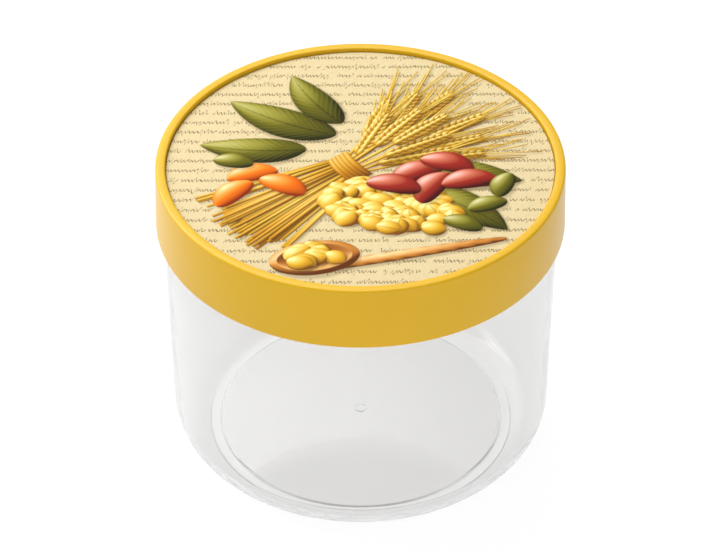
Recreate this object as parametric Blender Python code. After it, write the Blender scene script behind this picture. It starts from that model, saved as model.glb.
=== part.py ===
"""A round, clear plastic storage jar with a wide mouth, shut by a yellow lid.

A printed disc lies in the lid's recessed top. Blender units are metres, +Z is up, and the origin is the
middle of the foot, on the surface that the jar stands on.
"""

import math

import bmesh
import bpy

MM = 0.001

# Driving sizes of the lid
TOTAL_HEIGHT = 89.3 * MM
LID_RADIUS = 55.0 * MM
LID_DRAFT = 0.4 * MM
LID_DEPTH = 18.5 * MM
LID_WALL = 1.5 * MM
LID_SHOULDER = 0.7 * MM
RIM_WIDTH = 2.7 * MM
RIM_EDGE = 0.6 * MM
RECESS_DEPTH = 1.9 * MM
INNER_FILLET = 1.2 * MM
SKIRT_EDGE = 0.3 * MM

# Driving sizes of the printed disc
PRINT_THICKNESS = 0.4 * MM

# Driving sizes of the jar
JAR_RADIUS = 53.5 * MM
JAR_DRAFT = 1.3 * MM
JAR_WALL = 1.6 * MM
NECK_RADIUS = 51.6 * MM
SHOULDER_HEIGHT = 1.9 * MM
SHOULDER_ABOVE_SKIRT = 2.0 * MM
CORNER_RADIUS = 11.1 * MM
FOOT_HEIGHT = 0.2 * MM
FOOT_OUTER = 42.6 * MM
FOOT_INNER = 39.5 * MM
FOOT_CHAMFER = 0.2 * MM
BASE_LIFT = 1.8 * MM
BASE_STEP = 0.9 * MM
BASE_SLOPE = 0.4 * MM
FLOOR_MARGIN = 0.5 * MM
GATE_RADIUS = 1.5 * MM
GATE_HEIGHT = 0.5 * MM

# Touching pieces keep this much air between them
GAP = 0.3 * MM

SEGMENTS = 72
ARC_STEPS = 6
DOME_STEPS = 6
SMOOTH_ANGLE = math.radians(35)

# Heights that follow from the driving sizes
RECESS_Z = TOTAL_HEIGHT - RECESS_DEPTH
PLATE_UNDER_Z = RECESS_Z - LID_WALL
SKIRT_Z = TOTAL_HEIGHT - LID_DEPTH
MOUTH_Z = PLATE_UNDER_Z - GAP
RIM_INNER = LID_RADIUS - RIM_WIDTH

YELLOW = (0.672, 0.397, 0.021, 1.0)
CREAM = (0.871, 0.730, 0.402, 1.0)
CLEAR = (0.93, 0.94, 0.94, 1.0)


def arc(centre_r, centre_z, radius, start, end, steps=ARC_STEPS):
    """Points of an arc in the profile plane, from one angle to another, both in degrees."""
    points = []
    for i in range(steps + 1):
        angle = math.radians(start + (end - start) * i / steps)
        points.append((centre_r + radius * math.cos(angle), centre_z + radius * math.sin(angle)))
    return points


def dome(start, stop, high, low):
    """Points of a shallow dome, high at its starting radius and low at the radius where it stops."""
    points = []
    for i in range(DOME_STEPS + 1):
        part = i / DOME_STEPS
        points.append((start + (stop - start) * part, low + (high - low) * (1.0 - part * part)))
    return points


def plastic(name, colour, roughness, transmission=0.0):
    """A Principled material for one of the jar's plastics."""
    material = bpy.data.materials.new(name)
    material.use_nodes = True
    shader = material.node_tree.nodes["Principled BSDF"]
    shader.inputs["Base Color"].default_value = colour
    shader.inputs["Roughness"].default_value = roughness
    shader.inputs["Metallic"].default_value = 0.0
    shader.inputs["Transmission Weight"].default_value = transmission
    return material


def turned(name, profile, material):
    """A solid turned about Z from a profile of (radius, height) that starts and ends on the axis."""
    shape = bmesh.new()
    points = [shape.verts.new((r, 0.0, z)) for r, z in profile]
    edges = [shape.edges.new(pair) for pair in zip(points, points[1:])]
    bmesh.ops.spin(
        shape,
        geom=points + edges,
        cent=(0.0, 0.0, 0.0),
        axis=(0.0, 0.0, 1.0),
        angle=math.tau,
        steps=SEGMENTS,
        use_merge=True,
    )
    bmesh.ops.remove_doubles(shape, verts=shape.verts, dist=0.01 * MM)
    bmesh.ops.recalc_face_normals(shape, faces=shape.faces)
    mesh = bpy.data.meshes.new(name)
    shape.to_mesh(mesh)
    shape.free()
    mesh.shade_smooth()
    mesh.set_sharp_from_angle(angle=SMOOTH_ANGLE)
    mesh.materials.append(material)
    solid = bpy.data.objects.new(name, mesh)
    bpy.context.scene.collection.objects.link(solid)
    return solid


def jar_radius(z):
    """The jar's outer radius at a height: the wall opens a little towards the mouth, to leave its mould."""
    return JAR_RADIUS - JAR_DRAFT * (1.0 - z / SKIRT_Z)


def corner(radius, slope):
    """The rounded foot of the wall, as an arc that meets the sloping wall and ends level, at the bottom."""
    centre_z = FOOT_HEIGHT + CORNER_RADIUS
    centre_r = jar_radius(centre_z) - CORNER_RADIUS * math.cos(math.radians(slope))
    return arc(centre_r, centre_z, radius, -slope, -90.0)


def jar_profile():
    """Inside from the axis out and up to the mouth, then outside down to the foot and back to the axis."""
    slope = math.degrees(math.atan(JAR_DRAFT / SKIRT_Z))
    shoulder_z = SKIRT_Z + SHOULDER_ABOVE_SKIRT
    shoulder_top = shoulder_z + SHOULDER_HEIGHT
    neck_inner = NECK_RADIUS - JAR_WALL
    inner_corner = corner(CORNER_RADIUS - JAR_WALL, slope)[::-1]
    outer_corner = corner(CORNER_RADIUS, slope)
    floor_z = BASE_LIFT + JAR_WALL
    lip = JAR_WALL / 2
    floor_edge_r, floor_edge_z = inner_corner[0]
    inside = [
        *dome(0.0, floor_edge_r - FLOOR_MARGIN, floor_z, floor_edge_z),
        *inner_corner,
        (jar_radius(shoulder_z) - JAR_WALL, shoulder_z - JAR_WALL / 2),
        (neck_inner, shoulder_top - JAR_WALL / 2),
    ]
    mouth = arc(neck_inner + lip, MOUTH_Z - lip, lip, 180.0, 0.0)
    outside = [
        (NECK_RADIUS, shoulder_top),
        (jar_radius(shoulder_z), shoulder_z),
        *[p for p in outer_corner if p[0] > FOOT_OUTER + FOOT_CHAMFER],
        (FOOT_OUTER, FOOT_HEIGHT),
        (FOOT_OUTER - FOOT_CHAMFER, 0.0),
        (FOOT_INNER + FOOT_CHAMFER, 0.0),
        (FOOT_INNER, FOOT_CHAMFER),
        *dome(GATE_RADIUS, FOOT_INNER - BASE_SLOPE, BASE_LIFT, BASE_STEP)[::-1],
        (GATE_RADIUS, BASE_LIFT - GATE_HEIGHT),
        (0.0, BASE_LIFT - GATE_HEIGHT),
    ]
    return inside + mouth + outside


def lid_profile():
    """Over the recessed top and the rim, down the skirt, then up its inside and back under the plate."""
    skirt_radius = LID_RADIUS + LID_DRAFT
    edge = SKIRT_EDGE
    top_inner = LID_RADIUS - LID_WALL
    rim = arc(RIM_INNER + RIM_EDGE, TOTAL_HEIGHT - RIM_EDGE, RIM_EDGE, 180.0, 90.0, 4)
    shoulder = arc(LID_RADIUS - LID_SHOULDER, TOTAL_HEIGHT - LID_SHOULDER, LID_SHOULDER, 90.0, 0.0)
    foot = [
        (skirt_radius, SKIRT_Z + edge),
        (skirt_radius - edge, SKIRT_Z),
        (skirt_radius - LID_WALL + edge, SKIRT_Z),
        (skirt_radius - LID_WALL, SKIRT_Z + edge),
    ]
    inner_fillet = arc(top_inner - INNER_FILLET, PLATE_UNDER_Z - INNER_FILLET, INNER_FILLET, 0.0, 90.0, 3)
    return [(0.0, RECESS_Z), (RIM_INNER, RECESS_Z)] + rim + shoulder + foot + inner_fillet + [(0.0, PLATE_UNDER_Z)]


def print_profile():
    """A thin disc that lies in the lid's recess, a little below the rim."""
    radius = RIM_INNER - GAP
    bottom = RECESS_Z + GAP
    top = bottom + PRINT_THICKNESS
    return [(0.0, top), (radius, top), (radius, bottom), (0.0, bottom)]


for old in list(bpy.data.objects):
    bpy.data.objects.remove(old, do_unlink=True)

turned("jar", jar_profile(), plastic("clear_plastic", CLEAR, 0.03, transmission=1.0))
turned("lid", lid_profile(), plastic("yellow_plastic", YELLOW, 0.38))
turned("lid_print", print_profile(), plastic("printed_card", CREAM, 0.6))
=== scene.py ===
# %% [markdown]
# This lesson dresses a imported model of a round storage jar: a short, wide, clear plastic jar with a yellow
# lid, whose recessed top holds a printed disc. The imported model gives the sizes, and each step below makes
# one piece or finish over it. All lengths are in metres.

# %% Load the frame
import math

import bpy
import numpy as np
from mathutils import Matrix, Vector


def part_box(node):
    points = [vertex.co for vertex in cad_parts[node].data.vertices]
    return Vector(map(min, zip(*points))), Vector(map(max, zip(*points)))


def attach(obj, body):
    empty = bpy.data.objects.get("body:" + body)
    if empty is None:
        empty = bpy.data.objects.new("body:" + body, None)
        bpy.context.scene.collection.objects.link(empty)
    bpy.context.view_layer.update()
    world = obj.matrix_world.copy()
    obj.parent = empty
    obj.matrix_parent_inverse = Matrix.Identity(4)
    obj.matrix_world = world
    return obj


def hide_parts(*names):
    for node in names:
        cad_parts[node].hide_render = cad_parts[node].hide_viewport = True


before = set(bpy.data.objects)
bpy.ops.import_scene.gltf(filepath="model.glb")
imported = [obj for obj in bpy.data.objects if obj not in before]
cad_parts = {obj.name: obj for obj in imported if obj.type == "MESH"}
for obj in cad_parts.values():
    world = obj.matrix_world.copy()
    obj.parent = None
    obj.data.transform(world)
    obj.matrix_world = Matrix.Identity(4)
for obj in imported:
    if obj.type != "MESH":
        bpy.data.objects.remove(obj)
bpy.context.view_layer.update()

print("nodes", sorted(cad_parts))

# %% [markdown]
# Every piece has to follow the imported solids, so the sizes that matter are read from them. A box gives a
# node's lowest and highest corner. What a box can't tell, such as the lid's draft or a wall's thickness, is
# named in millimetres where it is first needed.

# %% Read the driving sizes from the frame
MM = 0.001
jar_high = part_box("jar")[1]
lid_low, lid_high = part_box("lid")
print_low, print_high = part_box("lid_print")

LID_TOP = lid_high.z
LID_FOOT = lid_low.z
LID_FOOT_RADIUS = lid_high.x
LID_DRAFT = 0.4 * MM
LID_RADIUS = LID_FOOT_RADIUS - LID_DRAFT
PRINT_TOP = print_high.z
PRINT_RADIUS = print_high.x
MOUTH_Z = jar_high.z
print(f"lid {2000 * LID_RADIUS:.1f} mm wide, {1000 * (LID_TOP - LID_FOOT):.1f} mm deep")
print(f"jar mouth at {1000 * MOUTH_Z:.1f} mm, print {2000 * PRINT_RADIUS:.1f} mm wide")

# %% [markdown]
# The jar and the lid are both round mouldings, so both are turned: a profile, drawn as points of radius
# and height, is swept round the Z axis. Blender has a Screw modifier and a Spin tool for this. Here the
# rings are worked out with numpy, which takes a fine mesh in a moment and makes the seam exact.

# %% Helpers that turn a profile
SEGMENTS = 384
SMOOTH_ANGLE = math.radians(32)


def arc(centre_r, centre_z, radius, start, end, steps=12):
    """Points of an arc in the profile plane, from one angle to another, both in degrees."""
    angles = np.radians(np.linspace(start, end, steps + 1))
    return [(centre_r + radius * math.cos(a), centre_z + radius * math.sin(a)) for a in angles]


def turned(name, profile, material):
    """A closed body turned about Z from a profile that starts and ends on the axis."""
    rings = [p for p in profile if p[0] > 1e-7]
    turn = np.linspace(0.0, math.tau, SEGMENTS, endpoint=False)
    verts = [(0.0, 0.0, profile[0][1])]
    for r, z in rings:
        verts.extend(zip(r * np.cos(turn), r * np.sin(turn), np.full(SEGMENTS, z)))
    verts.append((0.0, 0.0, profile[-1][1]))
    last = len(verts) - 1
    faces = []
    for i in range(SEGMENTS):
        j = (i + 1) % SEGMENTS
        faces.append((0, 1 + i, 1 + j))
        for k in range(len(rings) - 1):
            here = 1 + k * SEGMENTS
            below = here + SEGMENTS
            faces.append((here + i, below + i, below + j, here + j))
        base = 1 + (len(rings) - 1) * SEGMENTS
        faces.append((base + i, last, base + j))
    mesh = bpy.data.meshes.new(name)
    mesh.from_pydata([tuple(float(c) for c in v) for v in verts], [], faces)
    mesh.validate()
    mesh.update()
    mesh.shade_smooth()
    mesh.set_sharp_from_angle(angle=SMOOTH_ANGLE)
    mesh.materials.append(material)
    piece = bpy.data.objects.new(name, mesh)
    bpy.context.scene.collection.objects.link(piece)
    print(name, len(mesh.vertices), "vertices")
    return piece


# %% [markdown]
# Each finish below is a small node tree round a Principled shader. A few helpers keep those trees short: one
# starts a material, one adds a node with its settings, and one joins two sockets. Two more build what comes
# back often, a colour ramp and a Math node.

# %% Helpers for materials
def start_material(name):
    """A new material and its Principled shader."""
    material = bpy.data.materials.new(name)
    material.use_nodes = True
    return material, material.node_tree, material.node_tree.nodes["Principled BSDF"]


def add(tree, kind, inputs=None, **settings):
    """A node of a kind, with its settings and the values of its inputs."""
    node = tree.nodes.new(kind)
    for key, value in settings.items():
        setattr(node, key, value)
    for key, value in (inputs or {}).items():
        node.inputs[key].default_value = value
    return node


def join(tree, source, output, target, entry):
    """Links an output of one node to an input of another."""
    tree.links.new(source.outputs[output], target.inputs[entry])


def ramp(tree, source, output, stops):
    """A colour ramp over another node's output, from (position, colour) stops."""
    node = add(tree, "ShaderNodeValToRGB")
    join(tree, source, output, node, "Fac")
    elements = node.color_ramp.elements
    while len(elements) < len(stops):
        elements.new(0.5)
    for element, (position, colour) in zip(elements, stops):
        element.position = position
        element.color = (*colour, 1.0)
    return node


def math_node(tree, operation, *values):
    """A Math node whose inputs are numbers or (node, output) pairs."""
    node = add(tree, "ShaderNodeMath", operation=operation)
    for k, value in enumerate(values):
        if isinstance(value, tuple):
            tree.links.new(value[0].outputs[value[1]], node.inputs[k])
        else:
            node.inputs[k].default_value = value
    return node, "Value"


# %% [markdown]
# The jar is moulded in clear polystyrene. Clear plastic is a closed body with a refracting surface, so the
# mesh has both its faces: an inner and an outer skin that meet at the lip and never cross. Its faint haze
# comes from a transmission a little under one and a base colour just under white, and its polish from a very
# low roughness that a fine noise varies. Where the foot ring meets the base, the base colour is darker in a
# thin ring. This is painted shade that stands in for the contact shadow there. The ring is found from each
# point's distance to the Z axis and its height. The painted shade is strongest towards the front and fainter
# elsewhere.

# %% Clear plastic
# The crease ring is painted shade in the base colour and stands in for the contact shadow at the foot ring.
CREASE_RADIUS = 39.55 * MM
CREASE_REACH = 0.4 * MM
CREASE_TOP = 0.5 * MM
CREASE_FADE = 0.3 * MM
PAINTED_SHADE_START = -32.0 * MM
PAINTED_SHADE_FULL = -38.5 * MM
PAINTED_SHADE_ELSEWHERE = 0.3
CLEAR_TO_PAINTED_SHADE = [(0.0, (0.95, 0.95, 0.95)), (1.0, (0.12, 0.12, 0.12))]


def clear_plastic():
    """Polished clear polystyrene with a faint grey, and painted shade in the crease of the foot ring."""
    material, tree, shader = start_material("clear_polystyrene")
    shader.inputs["Transmission Weight"].default_value = 0.85
    shader.inputs["IOR"].default_value = 1.45
    place = add(tree, "ShaderNodeTexCoord")
    parts = add(tree, "ShaderNodeSeparateXYZ")
    join(tree, place, "Object", parts, "Vector")
    level = add(tree, "ShaderNodeCombineXYZ")
    join(tree, parts, "X", level, "X")
    join(tree, parts, "Y", level, "Y")
    radius = add(tree, "ShaderNodeVectorMath", operation="LENGTH")
    join(tree, level, "Vector", radius, "Vector")
    away = math_node(tree, "ABSOLUTE", math_node(tree, "SUBTRACT", (radius, "Value"), CREASE_RADIUS))
    near = add(tree, "ShaderNodeMapRange", {"From Min": CREASE_REACH, "From Max": 0.5 * CREASE_REACH})
    join(tree, *away, near, "Value")
    under = add(tree, "ShaderNodeMapRange", {"From Min": CREASE_TOP + CREASE_FADE, "From Max": CREASE_TOP})
    join(tree, parts, "Z", under, "Value")
    front = add(tree, "ShaderNodeMapRange", {"From Min": PAINTED_SHADE_START, "From Max": PAINTED_SHADE_FULL})
    front.inputs["To Min"].default_value = PAINTED_SHADE_ELSEWHERE
    join(tree, parts, "Y", front, "Value")
    # Painted shade: the crease ring is darkened, most strongly towards the front (-Y).
    ring = math_node(tree, "MULTIPLY", (near, "Result"), (under, "Result"))
    painted_shade = math_node(tree, "MULTIPLY", ring, (front, "Result"))
    grey = ramp(tree, *painted_shade, CLEAR_TO_PAINTED_SHADE)
    join(tree, grey, "Color", shader, "Base Color")
    haze = add(tree, "ShaderNodeTexNoise", {"Scale": 240.0, "Detail": 4.0})
    join(tree, place, "Object", haze, "Vector")
    polish = add(tree, "ShaderNodeMapRange", {"To Min": 0.012, "To Max": 0.022})
    join(tree, haze, "Fac", polish, "Value")
    join(tree, polish, "Result", shader, "Roughness")
    return material


polished = clear_plastic()
print(polished.name, len(polished.node_tree.nodes), "nodes")

# %% [markdown]
# From the mouth the wall runs down with a draft of one degree, rounds into the foot, and stands on a narrow
# ring. Inside that ring the base steps up and rises in a shallow dome, so that the jar doesn't rock, and the
# mark of the mould's gate is left in its middle. The neck above the shoulder is hidden by the lid.

# %% Sizes of the jar
JAR_RADIUS = 53.5 * MM
JAR_DRAFT = 1.3 * MM
JAR_WALL = 1.6 * MM
NECK_RADIUS = 51.6 * MM
SHOULDER_HEIGHT = 1.9 * MM
SHOULDER_ABOVE_SKIRT = 2.0 * MM
CORNER_RADIUS = 11.1 * MM
FOOT_HEIGHT = 0.2 * MM
FOOT_OUTER = 42.6 * MM
FOOT_INNER = 39.5 * MM
FOOT_EDGE = 0.2 * MM
BASE_LIFT = 1.8 * MM
BASE_STEP = 0.9 * MM
BASE_SLOPE = 0.4 * MM
FLOOR_MARGIN = 0.5 * MM
GATE_RADIUS = 1.5 * MM
GATE_HEIGHT = 0.5 * MM
print(f"jar {2000 * JAR_RADIUS:.0f} mm wide at its mouth, wall {1000 * JAR_WALL:.1f} mm")

# %% [markdown]
# Three helpers find the outer radius at a height, the round of the foot, and the shallow dome of the base.
# They work in the profile plane, so each returns plain numbers that can be printed and checked.

# %% Helpers for the jar's profile
def jar_radius(z):
    """The outer radius at a height."""
    return JAR_RADIUS - JAR_DRAFT * (1.0 - z / LID_FOOT)


def foot_corner(radius):
    """The round of the foot, from the sloping wall to level."""
    slope = math.degrees(math.atan(JAR_DRAFT / LID_FOOT))
    centre_z = FOOT_HEIGHT + CORNER_RADIUS
    centre_r = jar_radius(centre_z) - CORNER_RADIUS * math.cos(math.radians(slope))
    return arc(centre_r, centre_z, radius, -slope, -90.0, steps=36)


def dome(start, stop, high, low, steps=12):
    """A shallow dome's profile from a radius near the axis, where it is high, out to where it is low."""
    points = []
    for i in range(steps + 1):
        part = i / steps
        points.append((start + (stop - start) * part, low + (high - low) * (1.0 - part * part)))
    return points


print(f"the foot's round ends {1000 * foot_corner(CORNER_RADIUS)[-1][0]:.1f} mm from the axis")

# %% [markdown]
# The profile strings those points together, first the inside and then the outside. The lip between them is
# half a circle, so the two skins meet in one round, and the wall keeps its thickness all the way down.

# %% Jar
def jar_profile():
    """Inside from the floor up to the lip, then outside down to the foot."""
    shoulder = LID_FOOT + SHOULDER_ABOVE_SKIRT
    shoulder_top = shoulder + SHOULDER_HEIGHT
    neck_inner = NECK_RADIUS - JAR_WALL
    floor_z = BASE_LIFT + JAR_WALL
    lip = JAR_WALL / 2
    inner_corner = foot_corner(CORNER_RADIUS - JAR_WALL)[::-1]
    outer_corner = [p for p in foot_corner(CORNER_RADIUS) if p[0] > FOOT_OUTER + FOOT_EDGE]
    floor_edge_r, floor_edge_z = inner_corner[0]
    inside = [*dome(0.0, floor_edge_r - FLOOR_MARGIN, floor_z, floor_edge_z), *inner_corner]
    neck = [(jar_radius(shoulder) - JAR_WALL, shoulder - lip), (neck_inner, shoulder_top - lip)]
    mouth = arc(neck_inner + lip, MOUTH_Z - lip, lip, 180.0, 0.0)
    outside = [(NECK_RADIUS, shoulder_top), (jar_radius(shoulder), shoulder), *outer_corner]
    ring = [
        (FOOT_OUTER, FOOT_HEIGHT),
        (FOOT_OUTER - FOOT_EDGE, 0.0),
        (FOOT_INNER + FOOT_EDGE, 0.0),
        (FOOT_INNER, FOOT_EDGE),
    ]
    base = [
        *dome(GATE_RADIUS, FOOT_INNER - BASE_SLOPE, BASE_LIFT, BASE_STEP)[::-1],
        (GATE_RADIUS, BASE_LIFT - GATE_HEIGHT),
        (0.0, BASE_LIFT - GATE_HEIGHT),
    ]
    return inside + neck + mouth + outside + ring + base


clear_jar = turned("clear_jar", jar_profile(), polished)
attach(clear_jar, "root")
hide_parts("jar")

# %% [markdown]
# The lid is moulded in opaque yellow plastic with a satin surface. Such plastic scatters a little light
# inside, so some subsurface is mixed in, and its mould leaves a very fine grain, which softens the
# highlight along the rim. Slow changes of tone keep it from being one flat colour.

# %% Yellow plastic
YELLOW_TONES = [(0.3, (0.66, 0.385, 0.003)), (0.7, (0.70, 0.415, 0.005))]


def yellow_plastic():
    """Satin yellow polypropylene with a fine grain."""
    material, tree, shader = start_material("yellow_polypropylene")
    place = add(tree, "ShaderNodeTexCoord")
    tone = add(tree, "ShaderNodeTexNoise", {"Scale": 22.0, "Detail": 3.0})
    join(tree, place, "Object", tone, "Vector")
    colour = ramp(tree, tone, "Fac", YELLOW_TONES)
    join(tree, colour, "Color", shader, "Base Color")
    grain = add(tree, "ShaderNodeTexNoise", {"Scale": 1500.0, "Detail": 5.0, "Roughness": 0.6})
    join(tree, place, "Object", grain, "Vector")
    satin = add(tree, "ShaderNodeMapRange", {"To Min": 0.27, "To Max": 0.36})
    join(tree, grain, "Fac", satin, "Value")
    join(tree, satin, "Result", shader, "Roughness")
    bump = add(tree, "ShaderNodeBump", {"Strength": 0.25, "Distance": 0.03 * MM})
    join(tree, grain, "Fac", bump, "Height")
    join(tree, bump, "Normal", shader, "Normal")
    shader.inputs["IOR"].default_value = 1.38
    shader.inputs["Subsurface Weight"].default_value = 0.12
    shader.inputs["Subsurface Radius"].default_value = (1.2 * MM, 0.7 * MM, 0.15 * MM)
    shader.inputs["Subsurface Scale"].default_value = 1.0
    return material


satin_yellow = yellow_plastic()
print(satin_yellow.name, len(satin_yellow.node_tree.nodes), "nodes")

# %% [markdown]
# The lid's top is a shallow tray: a rim stands round a flat recess. The rim's top is very slightly crowned,
# so that it catches light from more than one direction, and a small round leads from it to the skirt, which
# widens slightly downwards. The light line along the rim is the lid's most visible feature, so each of its
# arcs gets many steps. The arcs meet at the same tilt, which keeps the highlight smooth.

# %% Lid
LID_WALL = 1.5 * MM
LID_SHOULDER = 0.7 * MM
RIM_WIDTH = 2.7 * MM
RIM_EDGE = 0.45 * MM
RIM_TILT = 7.0
RECESS_DEPTH = 1.9 * MM
INNER_FILLET = 1.2 * MM
SKIRT_EDGE = 0.3 * MM


def lid_profile():
    """Recess, rim, shoulder, skirt, foot edge, then the inside back to the axis."""
    rim_inner = LID_RADIUS - RIM_WIDTH
    recess_z = LID_TOP - RECESS_DEPTH
    under = recess_z - LID_WALL
    tilt = math.radians(RIM_TILT)
    crown_start = rim_inner + RIM_EDGE * (1.0 - math.sin(tilt))
    crown_stop = LID_RADIUS - LID_SHOULDER * (1.0 - math.sin(tilt))
    crown = (crown_stop - crown_start) / (2.0 * math.sin(tilt))
    crown_foot = LID_TOP - crown * (1.0 - math.cos(tilt))
    rim_z = crown_foot - RIM_EDGE * math.cos(tilt)
    shoulder_z = crown_foot - LID_SHOULDER * math.cos(tilt)
    rim = arc(rim_inner + RIM_EDGE, rim_z, RIM_EDGE, 180.0, 90.0 + RIM_TILT, steps=10)
    middle = (crown_start + crown_stop) / 2
    top = arc(middle, LID_TOP - crown, crown, 90.0 + RIM_TILT, 90.0 - RIM_TILT, steps=10)
    shoulder = arc(LID_RADIUS - LID_SHOULDER, shoulder_z, LID_SHOULDER, 90.0 - RIM_TILT, 0.0, steps=16)
    edge = SKIRT_EDGE
    outer_foot = arc(LID_FOOT_RADIUS - edge, LID_FOOT + edge, edge, 0.0, -90.0, steps=5)
    inner_foot = arc(LID_FOOT_RADIUS - LID_WALL + edge, LID_FOOT + edge, edge, -90.0, -180.0, steps=5)
    top_inner = LID_RADIUS - LID_WALL
    fillet = arc(top_inner - INNER_FILLET, under - INNER_FILLET, INNER_FILLET, 0.0, 90.0, steps=6)
    start = [(0.0, recess_z), (rim_inner, recess_z)]
    return start + rim + top[1:-1] + shoulder + outer_foot + inner_foot + fillet + [(0.0, under)]


yellow_lid = turned("yellow_lid", lid_profile(), satin_yellow)
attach(yellow_lid, "root")
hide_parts("lid")

# %% [markdown]
# The disc in the lid is a print: cream paper with rows of fine brown strokes, and over it a still life of
# dry goods. A picture could be an image file, but then its colours can't be changed in code. Here it is
# painted in numpy onto the points of a fine grid, shape after shape, as a painter lays leaves over straw,
# and kept in the mesh as a colour for each point. The fourth number of each colour tells how much of the
# paper it covers.

# %% Points of the picture
PICTURE_CELLS = 440
PICTURE_RADIUS = 1000 * PRINT_RADIUS
UNDER_TONE = (0.45, 0.27, 0.05)


def disc_points(cells, radius):
    """A square grid drawn onto a disc, so that the grid's border lies on the disc's edge."""
    line = np.linspace(-1.0, 1.0, cells)
    across, along = np.meshgrid(line, line)
    x = radius * across * np.sqrt(1.0 - along * along / 2)
    y = radius * along * np.sqrt(1.0 - across * across / 2)
    return x, y


grid_x, grid_y = disc_points(PICTURE_CELLS, PICTURE_RADIUS)
picture = np.zeros((PICTURE_CELLS, PICTURE_CELLS, 4))
picture[..., :3] = UNDER_TONE
spacing = math.sqrt(math.pi) * PICTURE_RADIUS / PICTURE_CELLS
print("picture points", grid_x.size, "mean spacing mm", round(spacing, 3))

# %% [markdown]
# Paint is laid in linear colour, the kind that light adds up in, so a colour picked on a screen is converted
# first. Laying it over what is there works as in any painting program: the cover says how much of the new
# colour shows, and the rest is the old one.

# %% Colour and cover
def linear(red, green, blue):
    """A screen colour of 0 to 255 as the linear colour that a shader wants."""
    value = np.array([red, green, blue]) / 255.0
    return np.where(value <= 0.04045, value / 12.92, ((value + 0.055) / 1.055) ** 2.4)


def lay(where, colour, cover):
    """Lays a colour over the picture at some points, as far as cover says."""
    old = picture[where]
    total = cover + old[:, 3] * (1.0 - cover)
    kept = (old[:, 3] * (1.0 - cover))[:, None]
    mixed = (colour * cover[:, None] + old[:, :3] * kept) / np.maximum(total, 1e-6)[:, None]
    picture[where] = np.column_stack([np.where(total[:, None] > 1e-4, mixed, old[:, :3]), total])


print("linear middle grey", np.round(linear(128, 128, 128), 3))

# %% [markdown]
# One brush paints everything here. Its shape is a spindle along a straight or bent spine, which can be a
# straw, a grain, a bean or a leaf. The two numbers of ends say how pointed its start and stop are: near 0 an
# end is blunt, at 0.5 it is round, and near 1 it is sharp.

# %% The shape of a spindle
def spindle(centre, angle, length, width, bend, ends):
    """The points near a spindle, with their place along it (0 to 1) and across it (-1 to 1), their depth
    inside it and their distance from its middle."""
    reach = 0.5 * length + width + abs(bend) * length
    where = np.nonzero((grid_x - centre[0]) ** 2 + (grid_y - centre[1]) ** 2 < reach * reach)
    dx = grid_x[where] - centre[0]
    dy = grid_y[where] - centre[1]
    turn = math.radians(angle)
    u = dx * math.cos(turn) + dy * math.sin(turn)
    v = dy * math.cos(turn) - dx * math.sin(turn)
    v = v + bend * (4.0 * u * u / length - 0.5 * length)
    s = np.clip(u / length + 0.5, 0.0, 1.0)
    start, stop = ends
    peak = start / (start + stop)
    half = 0.5 * width * s**start * (1.0 - s) ** stop / (peak**start * (1.0 - peak) ** stop)
    beyond = np.maximum(np.abs(u) - 0.5 * length, 0.0)
    return where, s, v / np.maximum(half, 0.05), half - np.abs(v) - beyond, u


print("points under a test spindle", spindle((0.0, 0.0), 0.0, 15.0, 8.0, 0.0, (0.5, 0.5))[1].size)

# %% [markdown]
# Each point inside the spindle gets a surface direction, as if the shape were round, and a lamp at the upper
# left turns that into a dark, middle or light tone. A blurred dark copy, laid first and a little lower, is
# its shadow on what lies under it. This keeps one light for the whole picture, whatever is painted.

# %% A brush for grains, straws and leaves
LAMP = np.array([-0.45, 0.5, 0.74])
MIDDLE_TONE = 0.62
SOFT_EDGE = 0.22
SHADOW_SHIFT = (0.5, -0.8)
SHADOW_SPREAD = 1.1
SHADOW_BLUR = 1.1
SHADOW_TONE = (74, 48, 14)
END_LEAN = 0.75
SIDE_LEAN = 0.95
VEIN_HEIGHT = 0.22
CREASE_DEPTH = 0.55
GLOSS_POWER = 18
INK_DEPTH = 0.86


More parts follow.
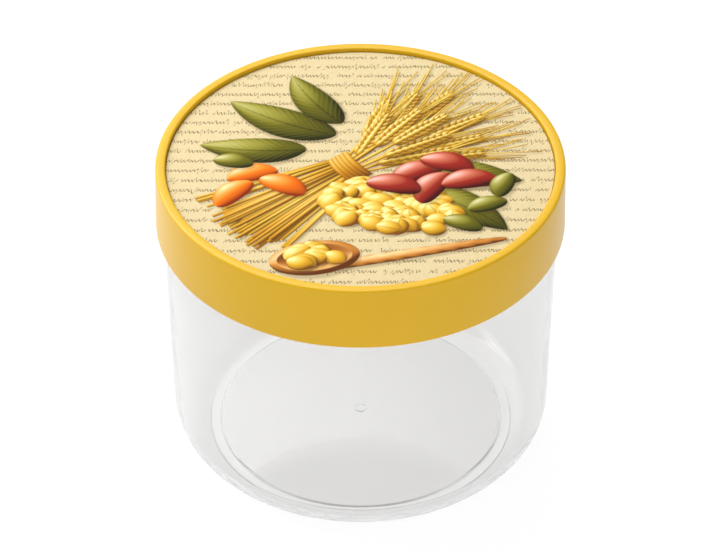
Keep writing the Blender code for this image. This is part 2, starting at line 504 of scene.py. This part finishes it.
def brush(
    centre,
    angle,
    length,
    width,
    tones,
    bend=0.0,
    ends=(0.5, 0.5),
    crease=0.0,
    veins=0.0,
    gloss=0.3,
    shadow=0.35,
):
    """Paints one rounded spindle with its shadow. tones are its dark, middle and light colour."""
    if shadow:
        shifted = (centre[0] + SHADOW_SHIFT[0], centre[1] + SHADOW_SHIFT[1])
        where, s, t, depth, u = spindle(shifted, angle, length, width * SHADOW_SPREAD, bend, ends)
        lay(where, linear(*SHADOW_TONE), shadow * np.clip(depth / SHADOW_BLUR + 0.5, 0.0, 1.0))
    where, s, t, depth, u = spindle(centre, angle, length, width, bend, ends)
    turn = math.radians(angle)
    lean = END_LEAN * (2.0 * s - 1.0)
    side = np.clip(t, -1.0, 1.0) * SIDE_LEAN
    rise = np.sqrt(np.clip(1.0 - side**2 - 0.5 * lean**2, 0.03, 1.0))
    if veins:
        rise = rise + VEIN_HEIGHT * np.sin(math.tau * (u - 0.7 * np.abs(side) * width) / veins)
    normal_x = lean * math.cos(turn) - side * math.sin(turn)
    normal_y = lean * math.sin(turn) + side * math.cos(turn)
    size = np.sqrt(normal_x**2 + normal_y**2 + rise**2)
    lit = np.clip((normal_x * LAMP[0] + normal_y * LAMP[1] + rise * LAMP[2]) / size, 0.0, 1.0)
    dark, middle, light = (linear(*tone) for tone in tones)
    low = np.clip(lit / MIDDLE_TONE, 0.0, 1.0)[:, None]
    high = np.clip((lit - MIDDLE_TONE) / (1.0 - MIDDLE_TONE), 0.0, 1.0)[:, None]
    shaded = dark + (middle - dark) * low
    sunny = middle + (light - middle) * high
    colour = np.where(lit[:, None] < MIDDLE_TONE, shaded, sunny)
    colour = colour + gloss * (lit**GLOSS_POWER)[:, None]
    if crease:
        colour = colour * (1.0 - CREASE_DEPTH * np.exp(-((side * width / crease) ** 2)))[:, None]
    cover = np.clip(depth / SOFT_EDGE + 0.5, 0.0, 1.0) * (s > 0) * (s < 1)
    lay(where, INK_DEPTH * np.clip(colour, 0.0, 1.0), cover)


def mixed(tones, other, part):
    """Tones part of the way from one set to another."""
    return [tuple(a + (b - a) * part for a, b in zip(one, two)) for one, two in zip(tones, other)]


print("half way from black to white", mixed([(0, 0, 0)], [(255, 255, 255)], 0.5))

# %% [markdown]
# The still life runs from the lower left to the upper right: a sheaf of wheat, bay leaves behind it, and dry
# peas and beans in front of its tie. What lies behind is painted first. Each colour set is a dark, a middle
# and a light tone. Each random choice comes from a generator with a set seed, so the picture is the same at
# each run.

# %% Tones and places of the still life
GOLD = [(104, 64, 4), (218, 164, 30), (252, 220, 102)]
AMBER = [(94, 46, 4), (196, 128, 18), (242, 190, 70)]
PALE_PEA = [(134, 74, 6), (232, 174, 44), (255, 226, 118)]
OLIVE = [(36, 38, 4), (104, 100, 20), (178, 170, 66)]
BRICK = [(66, 8, 6), (158, 40, 26), (226, 122, 88)]
ORANGE = [(136, 40, 0), (240, 112, 8), (255, 180, 70)]
TIE = np.array([-3.0, -1.0])
SHEAF_ANGLE = 41.0
chance = np.random.default_rng(23)


def toward(start, angle, distance):
    """The point at a distance from a start, in a direction given in degrees."""
    turn = math.radians(angle)
    return np.array([start[0] + distance * math.cos(turn), start[1] + distance * math.sin(turn)])


def straw(start, stop, width, tones):
    """A straight straw between two points."""
    start, stop = np.asarray(start), np.asarray(stop)
    run = stop - start
    angle = math.degrees(math.atan2(run[1], run[0]))
    length = float(np.hypot(*run))
    brush((start + stop) / 2, angle, length, width, tones, ends=(0.04, 0.04), gloss=0.1, shadow=0.2)


print("shapes are placed round", TIE, "mm from the middle")

# %% [markdown]
# The leaves lie behind everything else, so they come first. A leaf is a wide spindle with one pointed end, a
# dark crease along its middle and a sine wave across it for its veins.

# %% Bay leaves behind the sheaf
for place, angle, length, width in (
    ((-21.5, 20.5), 152.0, 33.0, 12.5),
    ((-29.0, 7.5), 176.0, 29.0, 11.0),
    ((-12.5, 29.5), 122.0, 26.0, 10.5),
    ((28.0, -4.5), -6.0, 31.0, 12.0),
    ((27.0, -18.5), -36.0, 30.0, 12.0),
):
    brush(place, angle, length, width, OLIVE, bend=0.05, ends=(0.62, 0.85), crease=0.5, veins=2.3, gloss=0.12)

# %% [markdown]
# A sheaf spreads from its tie like a fan. Each straw below the tie runs from a random place near the fan's
# end to a place in the tie that follows its spread, so that the straws cross little and draw together.

# %% Straws below the tie
STRAWS = 84
USUAL_SPREAD = 8.0
WIDEST_SPREAD = 17.0
FOOT_FAN = 1.35
TIE_FAN = 0.30
STRAW_LENGTHS = (35.0, 43.0)
STRAW_WIDTHS = (0.95, 1.35)

for _ in range(STRAWS):
    spread = float(np.clip(chance.normal(0.0, USUAL_SPREAD), -WIDEST_SPREAD, WIDEST_SPREAD))
    foot = toward(TIE, 180.0 + SHEAF_ANGLE + spread * FOOT_FAN, chance.uniform(*STRAW_LENGTHS))
    near = toward(TIE, SHEAF_ANGLE + 90.0, -TIE_FAN * spread)
    straw(foot, near, chance.uniform(*STRAW_WIDTHS), mixed(GOLD, AMBER, chance.uniform(0.0, 1.0)))
print("straws", STRAWS)

# %% [markdown]
# Above the tie each straw ends in an ear. An ear's long thin beards are painted first, and then its grains,
# in pairs from the tip down with one on the middle, so that each pair overlaps the one above it. The far
# ears are painted before the near ones, which lie on top.

# %% Ears of wheat above the tie
GRAIN_ROWS = 9
GRAIN_ENDS = (0.5, 0.8)
GRAIN_SEAT = 1.35
GRAIN_TURN = 21
BEARD_TURNS = (4, 17)
BEARD_LENGTHS = (13.0, 17.0)
BEARD_WIDTH = 0.42
EAR_LENGTHS = (17.0, 20.0)
STALK_WIDTH = 1.1
FAR_EARS = ((-32, 17), (30, 15), (-21, 20), (20, 21), (-9, 24), (9, 26))
NEAR_EARS = ((-26, 9), (26, 7), (-13, 12), (12, 13), (0, 17))


def ear(root, angle, length):
    """One ear: beards first, then rows of three grains from the tip down."""
    for k in range(GRAIN_ROWS):
        place = toward(root, angle, length * (k + 0.6) / GRAIN_ROWS)
        for side in (-1, 1):
            tip = toward(place, angle + side * chance.uniform(*BEARD_TURNS), chance.uniform(*BEARD_LENGTHS))
            straw(place, tip, BEARD_WIDTH, GOLD)
    for k in reversed(range(GRAIN_ROWS)):
        part = (k + 0.5) / GRAIN_ROWS
        place = toward(root, angle, length * (k + 0.5) / GRAIN_ROWS)
        full = 1.0 - 0.35 * abs(2 * part - 0.8)
        for side in (-1, 1):
            seat = toward(place, angle + 90 * side, GRAIN_SEAT * full)
            tones = mixed(GOLD, AMBER, chance.uniform(0.0, 0.8))
            turn = angle + side * GRAIN_TURN
            brush(seat, turn, 5.4 * full, 2.45 * full, tones, ends=GRAIN_ENDS, crease=0.18)
        tones = mixed(GOLD, PALE_PEA, chance.uniform(0.0, 0.7))
        brush(place, angle, 4.9 * full, 2.1 * full, tones, ends=GRAIN_ENDS, crease=0.16)


for spread, distance in FAR_EARS + NEAR_EARS:
    root = toward(TIE, SHEAF_ANGLE + spread, distance)
    near = toward(TIE, SHEAF_ANGLE + 90.0, 0.1 * spread)
    straw(near, root, STALK_WIDTH, mixed(GOLD, AMBER, chance.uniform(0.0, 0.8)))
    ear(root, SHEAF_ANGLE + 0.95 * spread, chance.uniform(*EAR_LENGTHS))
print("ears", len(FAR_EARS + NEAR_EARS))

# %% [markdown]
# A few turns of cord bind the sheaf. Each is a spindle across it, with blunt ends and short waves along it
# for the twist.

# %% Cord round the tie
CORD_TURNS = (-2, -1, 0, 1, 2)
CORD_PITCH = 1.3
CORD_ANGLE = SHEAF_ANGLE + 84

for turn in CORD_TURNS:
    middle = toward(TIE, SHEAF_ANGLE, CORD_PITCH * turn)
    brush(middle, CORD_ANGLE, 12.5, 1.9, AMBER, bend=0.06, ends=(0.12, 0.12), veins=0.9, gloss=0.1)
print("the cord is", len(CORD_TURNS) * CORD_PITCH, "mm wide along the sheaf")

# %% [markdown]
# In front lie a wooden spoon and a heap of dry peas. The heap is random places in an ellipse. They are sorted
# from far to near, so that each pea covers the one behind it. The spoon's hollow is a spindle whose dark and
# light tones are swapped, which makes it look pressed in.

# %% Spoon and peas
WOOD = [(98, 48, 10), (206, 132, 52), (246, 196, 122)]
HOLLOW = [(232, 176, 100), (176, 106, 40), (112, 60, 18)]
PEA_SIZES = (5.8, 7.2)
PEA_CREASE = 0.3
CREASED_SHARE = 0.3


def scattered(centre, reach_x, reach_y, count, tilt):
    """Places in an ellipse, from its far side to its near side, so that near ones lie on top."""
    places = []
    for _ in range(count):
        turn = chance.uniform(0.0, math.tau)
        part = math.sqrt(chance.uniform(0.0, 1.0))
        x = reach_x * part * math.cos(turn)
        y = reach_y * part * math.sin(turn)
        places.append(toward(toward(centre, tilt, x), tilt + 90.0, y))
    return sorted(places, key=lambda place: -place[1])


brush((16.0, -37.0), 14.0, 46.0, 4.0, WOOD, ends=(0.1, 0.3), veins=5.0, gloss=0.15)
brush((-12.0, -39.5), 12.0, 24.0, 14.0, WOOD, gloss=0.15)
brush((-12.0, -39.2), 12.0, 20.0, 10.8, HOLLOW, gloss=0.0, shadow=0.0)
spoonful = scattered((-12.0, -38.6), reach_x=7.0, reach_y=3.4, count=14, tilt=12.0)
heap = scattered((8.0, -18.0), reach_x=18.0, reach_y=10.5, count=96, tilt=-12.0)
for place in spoonful + heap:
    size = chance.uniform(*PEA_SIZES)
    tones = mixed(GOLD, PALE_PEA, chance.uniform(0.0, 1.0))
    angle = chance.uniform(0.0, 180.0)
    crease = PEA_CREASE if chance.uniform() < CREASED_SHARE else 0.0
    brush(place, angle, size, 0.9 * size, tones, crease=crease)
print("peas", len(spoonful), "in the spoon and", len(heap), "in the heap")

# %% [markdown]
# Beans in three colours close the picture: brick red and green ones beside the heap, and orange ones left
# of the tie. They are bent spindles with a strong gloss, because a bean's skin is smooth. They come last, as
# they lie on everything else.

# %% Beans
for x, y, angle in ((15, -3, 25), (23.5, 1, -20), (19, -9.5, 60), (29, -6.5, 10), (9, -8.5, -15)):
    brush((x, y), angle, 15.0, 8.4, BRICK, bend=0.09, gloss=0.4)
for x, y, angle in ((-29, -3.5, 15), (-20.5, -8.5, -30), (-34, -12, 50)):
    brush((x, y), angle, 14.0, 7.8, ORANGE, bend=0.08, gloss=0.35)
for x, y, angle in ((33.5, -17, 20), (27, -25, -25), (-34, 2, -10), (38, -8.5, 70)):
    brush((x, y), angle, 11.0, 6.4, OLIVE, bend=0.05, gloss=0.3)
print("painted share of the disc", round(float((picture[..., 3] > 0.5).mean()), 3))

# %% [markdown]
# The paper under the picture carries rows of strokes. They look like handwriting from afar, but are only
# waves: each row has its own shift, a sine wave whose height wanders, and gaps where a slow noise falls
# below a limit. The shader works them out, so they stay sharp at any distance. Lengths here are in
# millimetres, and each slow noise has a scale and the two levels between which it rises from 0 to 1.

# %% Rows of strokes
ROW_PITCH = 4.3
STROKE_PERIOD = 1.0
STROKE_WIDTH = 0.15
STROKE_SLANT = 0.3
BASE_LINE = 0.55
ROW_SHIFT = 90.0
ROWS_APART = 7.3
PLAIN_HEIGHT = 0.85
EXTRA_HEIGHT = 0.95
STEEP_WIDTH = 0.30
PACE_CHANGE = 3.5
PACE = (0.7, 0.3, 0.7)
TALL_STROKES = (0.9, 0.56, 0.62)
LOW_STROKES = (0.8, 0.60, 0.66)
RUNS_OF_STROKES = (0.42, 0.37, 0.39)


def drifting(tree, spot, scale, low, high):
    """A slow noise along the rows, from 0 below a low level to 1 above a high one."""
    noise = add(tree, "ShaderNodeTexNoise", {"Scale": scale, "Detail": 1.0})
    join(tree, spot, "Vector", noise, "Vector")
    level = add(tree, "ShaderNodeMapRange", {"From Min": low, "From Max": high})
    join(tree, noise, "Fac", level, "Value")
    return level, "Result"


def stroke_rows(tree, place):
    """How much brown ink the rows of strokes put at each point of the paper."""
    parts = add(tree, "ShaderNodeSeparateXYZ")
    join(tree, place, "Object", parts, "Vector")
    x = math_node(tree, "DIVIDE", (parts, "X"), MM)
    rows = math_node(tree, "DIVIDE", (parts, "Y"), ROW_PITCH * MM)
    row = math_node(tree, "FLOOR", rows)
    centred = math_node(tree, "SUBTRACT", math_node(tree, "FRACT", rows), 0.5)
    height = math_node(tree, "MULTIPLY", centred, ROW_PITCH)
    shift = add(tree, "ShaderNodeTexWhiteNoise", noise_dimensions="1D")
    join(tree, *row, shift, "W")
    leaning = math_node(tree, "MULTIPLY_ADD", height, -STROKE_SLANT, x)
    run = math_node(tree, "MULTIPLY_ADD", (shift, "Value"), ROW_SHIFT, leaning)
    spot = add(tree, "ShaderNodeCombineXYZ")
    join(tree, *run, spot, "X")
    line = math_node(tree, "MULTIPLY", row, ROWS_APART)
    join(tree, *line, spot, "Y")
    pace = drifting(tree, spot, *PACE)
    tall = drifting(tree, spot, *TALL_STROKES)
    low = drifting(tree, spot, *LOW_STROKES)
    runs = drifting(tree, spot, *RUNS_OF_STROKES)
    drift = math_node(tree, "MULTIPLY", pace, PACE_CHANGE)
    phase = math_node(tree, "MULTIPLY_ADD", run, math.tau / STROKE_PERIOD, drift)
    crest = math_node(tree, "MULTIPLY_ADD", math_node(tree, "SINE", phase), 0.5, 0.5)
    reach = math_node(tree, "MULTIPLY_ADD", tall, EXTRA_HEIGHT, PLAIN_HEIGHT)
    drop = math_node(tree, "MULTIPLY", low, math_node(tree, "SUBTRACT", 1.0, crest))
    wave = math_node(tree, "SUBTRACT", math_node(tree, "MULTIPLY", crest, reach), drop)
    above = math_node(tree, "ADD", height, BASE_LINE)
    away = math_node(tree, "ABSOLUTE", math_node(tree, "SUBTRACT", above, wave))
    steep = math_node(tree, "ABSOLUTE", math_node(tree, "COSINE", phase))
    broad = math_node(tree, "MULTIPLY_ADD", steep, STEEP_WIDTH, STROKE_WIDTH)
    near = math_node(tree, "DIVIDE", away, broad)
    ink = add(tree, "ShaderNodeMapRange", {"From Min": 1.0, "From Max": 0.5})
    join(tree, *near, ink, "Value")
    return math_node(tree, "MULTIPLY", (ink, "Result"), runs)


print("about", round(2 * PICTURE_RADIUS / ROW_PITCH), "rows fit on the disc")

# %% [markdown]
# The paper itself is cream with a speckled grain, and nearly matt, so its index of refraction is set low.
# Two Mix nodes stack the layers as a press does: the brown strokes go over the paper, and the painted
# picture over both, as far as its fourth number says.

# %% Printed paper
CREAM_TONES = [(0.3, (0.622, 0.508, 0.28)), (0.7, (0.68, 0.56, 0.323))]
STROKE_INK = (0.13, 0.085, 0.03, 1.0)
STROKE_STRENGTH = 0.85


def printed_paper():
    """Cream paper with brown strokes, the painted still life over them, and a speckled grain in both."""
    material, tree, shader = start_material("printed_paper")
    place = add(tree, "ShaderNodeTexCoord")
    speck = add(tree, "ShaderNodeTexNoise", {"Scale": 900.0, "Detail": 4.0, "Roughness": 0.7})
    join(tree, place, "Object", speck, "Vector")
    paper = ramp(tree, speck, "Fac", CREAM_TONES)
    shader.inputs["IOR"].default_value = 1.15
    strokes = stroke_rows(tree, place)
    faint = math_node(tree, "MULTIPLY", strokes, STROKE_STRENGTH)
    written = add(tree, "ShaderNodeMix", data_type="RGBA")
    join(tree, *faint, written, "Factor")
    join(tree, paper, "Color", written, "A")
    written.inputs["B"].default_value = STROKE_INK
    paint = add(tree, "ShaderNodeAttribute", attribute_name="picture")
    dressed = add(tree, "ShaderNodeMix", data_type="RGBA")
    join(tree, paint, "Alpha", dressed, "Factor")
    join(tree, written, "Result", dressed, "A")
    join(tree, paint, "Color", dressed, "B")
    join(tree, dressed, "Result", shader, "Base Color")
    sheen = add(tree, "ShaderNodeMapRange", {"To Min": 0.42, "To Max": 0.62})
    join(tree, speck, "Fac", sheen, "Value")
    join(tree, sheen, "Result", shader, "Roughness")
    bump = add(tree, "ShaderNodeBump", {"Strength": 0.3, "Distance": 0.02 * MM})
    join(tree, speck, "Fac", bump, "Height")
    join(tree, bump, "Normal", shader, "Normal")
    return material


paper_finish = printed_paper()
print(paper_finish.name, len(paper_finish.node_tree.nodes), "nodes")

# %% [markdown]
# The printed disc itself is a thin closed sheet. Its top is the grid that the picture was painted on, its
# edge is that grid's border moved down, and its underside is one flat face.

# %% Printed disc
def border(cells):
    """Indices of a grid's border, once round."""
    low = list(range(cells - 1))
    right = [cells - 1 + i * cells for i in range(cells - 1)]
    high = [cells * cells - 1 - i for i in range(cells - 1)]
    left = [cells * (cells - 1) - i * cells for i in range(cells - 1)]
    return low + right + high + left


def printed_disc(material):
    """The sheet with its painted top."""
    cells = PICTURE_CELLS
    top = np.column_stack([grid_x.ravel() * MM, grid_y.ravel() * MM, np.full(grid_x.size, PRINT_TOP)])
    rim = border(cells)
    under = top[rim].copy()
    under[:, 2] = print_low.z
    corner = np.arange(cells * cells).reshape(cells, cells)[:-1, :-1].ravel()
    quads = np.column_stack([corner, corner + 1, corner + cells + 1, corner + cells])
    faces = quads.tolist()
    below = [cells * cells + i for i in range(len(rim))]
    for k in range(len(rim)):
        after = (k + 1) % len(rim)
        faces.append([rim[k], below[k], below[after], rim[after]])
    faces.append(below[::-1])
    mesh = bpy.data.meshes.new("printed_disc")
    mesh.from_pydata(np.vstack([top, under]).tolist(), [], faces)
    mesh.update()
    colours = np.ones((len(mesh.vertices), 4))
    colours[: cells * cells] = picture.reshape(-1, 4)
    colours[cells * cells :, 3] = 0.0
    layer = mesh.color_attributes.new("picture", "FLOAT_COLOR", "POINT")
    layer.data.foreach_set("color", colours.astype(np.float32).ravel())
    mesh.materials.append(material)
    piece = bpy.data.objects.new("printed_disc", mesh)
    bpy.context.scene.collection.objects.link(piece)
    print("printed_disc", len(mesh.vertices), "vertices")
    return piece


disc = printed_disc(paper_finish)
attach(disc, "root")
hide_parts("lid_print")

# %% [markdown]
# The jar stands on a plain floor that is wide enough for every angle. It glows softly, like a light table,
# so that it stays white under the clear base too.

# %% Floor
FLOOR_GLOW = 0.93
FLOOR_HALF = 4.0
FLOOR_TONES = [(0.3, (0.08, 0.08, 0.08)), (0.7, (0.10, 0.10, 0.10))]


def floor():
    """A wide, softly glowing floor with a very faint mottle."""
    material, tree, shader = start_material("pale_floor")
    place = add(tree, "ShaderNodeTexCoord")
    mottle = add(tree, "ShaderNodeTexNoise", {"Scale": 6.0})
    join(tree, place, "Object", mottle, "Vector")
    colour = ramp(tree, mottle, "Fac", FLOOR_TONES)
    join(tree, colour, "Color", shader, "Base Color")
    shader.inputs["Roughness"].default_value = 0.9
    shader.inputs["Emission Color"].default_value = (1.0, 1.0, 1.0, 1.0)
    shader.inputs["Emission Strength"].default_value = FLOOR_GLOW
    corners = [(FLOOR_HALF * x, FLOOR_HALF * y, 0.0) for x, y in ((-1, -1), (1, -1), (1, 1), (-1, 1))]
    mesh = bpy.data.meshes.new("floor")
    mesh.from_pydata(corners, [], [(0, 1, 2, 3)])
    mesh.materials.append(material)
    piece = bpy.data.objects.new("floor", mesh)
    bpy.context.scene.collection.objects.link(piece)
    print("floor", 2 * FLOOR_HALF, "m wide")
    return piece


floor()

# %% [markdown]
# The light is that of a studio with white walls: a pale world, brighter on the left, with a soft glow high
# up behind the jar, which the rim mirrors. A small panel close by on the left makes the lid lighter on that
# side, and a low one in front on the right fills the skirt.

# %% Light
LEFT_STRENGTH = 0.79
RIGHT_STRENGTH = 0.35
GLOW_STRENGTH = 4.2
GLOW_SOURCE = (-0.36, 0.50, 0.79)
GLOW_RISE = 0.80
GLOW_FULL = 0.99


def panel(name, place, target, size, power):
    """A large square soft light that faces a point."""
    lamp = bpy.data.lights.new(name, "AREA")
    lamp.shape = "SQUARE"
    lamp.size = size
    lamp.energy = power
    light = bpy.data.objects.new(name, lamp)
    light.location = place
    light.rotation_euler = (Vector(target) - Vector(place)).to_track_quat("-Z", "Y").to_euler()
    bpy.context.scene.collection.objects.link(light)
    return light


def pale_room(left, right, glow, source):
    """A white world, brighter to the left (-X) than to the right, with a soft glow round a direction."""
    world = bpy.data.worlds.new("pale_room")
    world.use_nodes = True
    tree = world.node_tree
    background = tree.nodes["Background"]
    background.inputs["Color"].default_value = (1.0, 1.0, 1.0, 1.0)
    place = add(tree, "ShaderNodeTexCoord")
    parts = add(tree, "ShaderNodeSeparateXYZ")
    join(tree, place, "Generated", parts, "Vector")
    across = add(tree, "ShaderNodeMapRange", {"From Min": -1.0, "To Min": left, "To Max": right})
    join(tree, parts, "X", across, "Value")
    facing = add(tree, "ShaderNodeVectorMath", {1: Vector(source).normalized()}, operation="DOT_PRODUCT")
    tree.links.new(place.outputs["Generated"], facing.inputs[0])
    soft = add(tree, "ShaderNodeMapRange", {"From Min": GLOW_RISE, "From Max": GLOW_FULL, "To Max": glow})
    soft.interpolation_type = "SMOOTHSTEP"
    join(tree, facing, "Value", soft, "Value")
    total = math_node(tree, "ADD", (across, "Result"), (soft, "Result"))
    tree.links.new(total[0].outputs[total[1]], background.inputs["Strength"])
    return world


bpy.context.scene.world = pale_room(LEFT_STRENGTH, RIGHT_STRENGTH, GLOW_STRENGTH, GLOW_SOURCE)
panel("left_panel", (-0.24, 0.10, 0.26), (0, 0, 0.08), size=0.18, power=0.36)
panel("front_panel", (0.16, -0.48, 0.12), (0, 0, 0.06), size=0.3, power=0.46)
bpy.context.scene.view_settings.view_transform = "Standard"
print("lights", [light.name for light in bpy.data.lights])

# %% [markdown]
# The camera stands a metre away and looks down on the lid. It was found by fitting a pinhole camera to the
# photograph's rim, skirt, wall and foot ring, so it is given as an angle, a distance and a point to aim at.

# %% Camera
ELEVATION = math.radians(39.15)
DISTANCE = 18.0 * LID_RADIUS
AIM = Vector((-0.025 * LID_RADIUS, 0.0, LID_TOP - 0.733 * LID_RADIUS))
ROLL = -0.002
IMAGE_WIDTH = 711
FOCAL_PIXELS = 3600.0


def look_from_photo():
    """The camera that sees the jar as the photograph does."""
    back = Vector((0.0, -math.cos(ELEVATION), math.sin(ELEVATION)))
    side = Vector((1.0, 0.0, 0.0))
    up = Vector((0.0, math.sin(ELEVATION), math.cos(ELEVATION)))
    right = side * math.cos(ROLL) + up * math.sin(ROLL)
    over = up * math.cos(ROLL) - side * math.sin(ROLL)
    turn = Matrix((right, over, back)).transposed()
    lens = bpy.data.cameras.new("camera")
    lens.sensor_fit = "HORIZONTAL"
    lens.sensor_width = 36.0
    lens.lens = lens.sensor_width * FOCAL_PIXELS / IMAGE_WIDTH
    camera = bpy.data.objects.new("camera", lens)
    camera.matrix_world = Matrix.Translation(AIM + DISTANCE * back) @ turn.to_4x4()
    bpy.context.scene.collection.objects.link(camera)
    return camera


bpy.context.scene.camera = look_from_photo()
print(f"camera {DISTANCE:.2f} m away, focal length {bpy.context.scene.camera.data.lens:.1f} mm")
